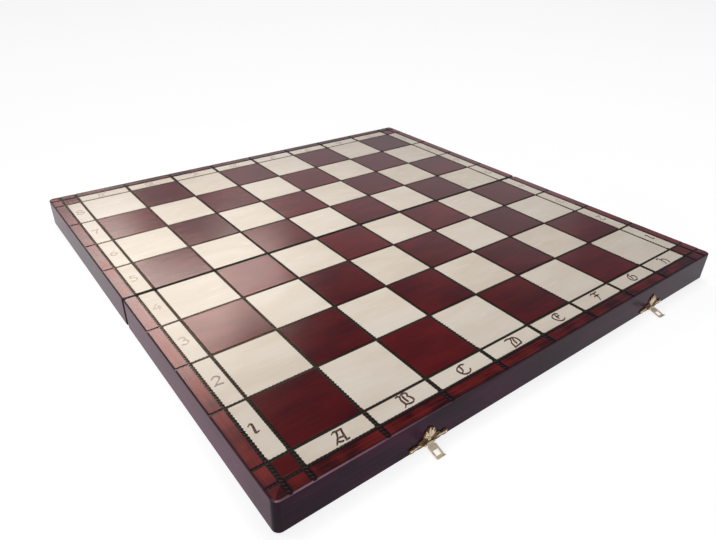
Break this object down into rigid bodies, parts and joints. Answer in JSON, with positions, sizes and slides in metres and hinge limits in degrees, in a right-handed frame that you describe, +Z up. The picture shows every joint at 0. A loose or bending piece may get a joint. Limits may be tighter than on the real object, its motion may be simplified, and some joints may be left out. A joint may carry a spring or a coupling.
{
  "type": "folding chess box",
  "caption": "Folding wooden chess box lying open as a board: two hinged trays with felt-lined insides, burned grid lines and swinging brass hasps.",
  "frame": {"origin": "the point on the table under the middle of the fold, with the board lying open", "axes": "+X along the files from a to h, +Y across the fold from rank 1 to rank 8, +Z up"},
  "size_m": [0.585, 0.6046, 0.0342],
  "materials": {
    "light_veneer": "pale birch veneer under satin varnish, brown burned marks",
    "dark_veneer": "mahogany-stained veneer under satin varnish",
    "stained_rail": "red-brown stained hardwood, burned lines, satin varnish",
    "inner_rail": "stained hardwood, thinly varnished",
    "panel_ply": "thin panel, burned dark where the lines cut it",
    "lining_felt": "thin green felt",
    "hinge_brass": "plain stamped brass, slightly dull",
    "clasp_brass": "stamped and antiqued brass",
    "brass_pins": "drawn brass wire",
    "brass_fasteners": "turned brass"
  },
  "bodies": {
    "lid": {"lid_panel": "panel_ply", "lid_light_squares": "light_veneer", "lid_dark_squares": "dark_veneer", "lid_clasp_rail": "stained_rail", "lid_hinge_rail": "inner_rail", "lid_left_rail": "stained_rail", "lid_right_rail": "stained_rail", "lid_lining": "lining_felt", "left_hinge_lid_leaf": "hinge_brass", "right_hinge_lid_leaf": "hinge_brass", "left_hinge_pin": "brass_pins", "right_hinge_pin": "brass_pins", "lid_hinge_screws": "brass_fasteners", "left_clasp_plate": "clasp_brass", "right_clasp_plate": "clasp_brass", "left_clasp_pin": "brass_pins", "right_clasp_pin": "brass_pins", "clasp_plate_nails": "brass_fasteners"},
    "base": {"base_panel": "panel_ply", "base_light_squares": "light_veneer", "base_dark_squares": "dark_veneer", "base_catch_rail": "stained_rail", "base_hinge_rail": "inner_rail", "base_left_rail": "stained_rail", "base_right_rail": "stained_rail", "base_lining": "lining_felt", "left_hinge_base_leaf": "hinge_brass", "right_hinge_base_leaf": "hinge_brass", "base_hinge_screws": "brass_fasteners", "left_catch_plate": "clasp_brass", "right_catch_plate": "clasp_brass", "catch_plate_nails": "brass_fasteners"},
    "left_hasp": {"left_hasp": "clasp_brass"},
    "right_hasp": {"right_hasp": "clasp_brass"}
  },
  "joints": [
    {"name": "fold_hinge", "type": "hinge", "parent": "lid", "child": "base", "pos_m": [0, 0, 0.0015], "axis": [-1, 0, 0], "range_deg": [0, 180]},
    {"name": "left_hasp_pivot", "type": "hinge", "parent": "lid", "child": "left_hasp", "pos_m": [-0.154, -0.2939, 0.00415], "axis": [1, 0, 0], "range_deg": [-87.23, 72.77]},
    {"name": "right_hasp_pivot", "type": "hinge", "parent": "lid", "child": "right_hasp", "pos_m": [0.174, -0.2939, 0.00415], "axis": [1, 0, 0], "range_deg": [-87.23, 72.77]}
  ]
}
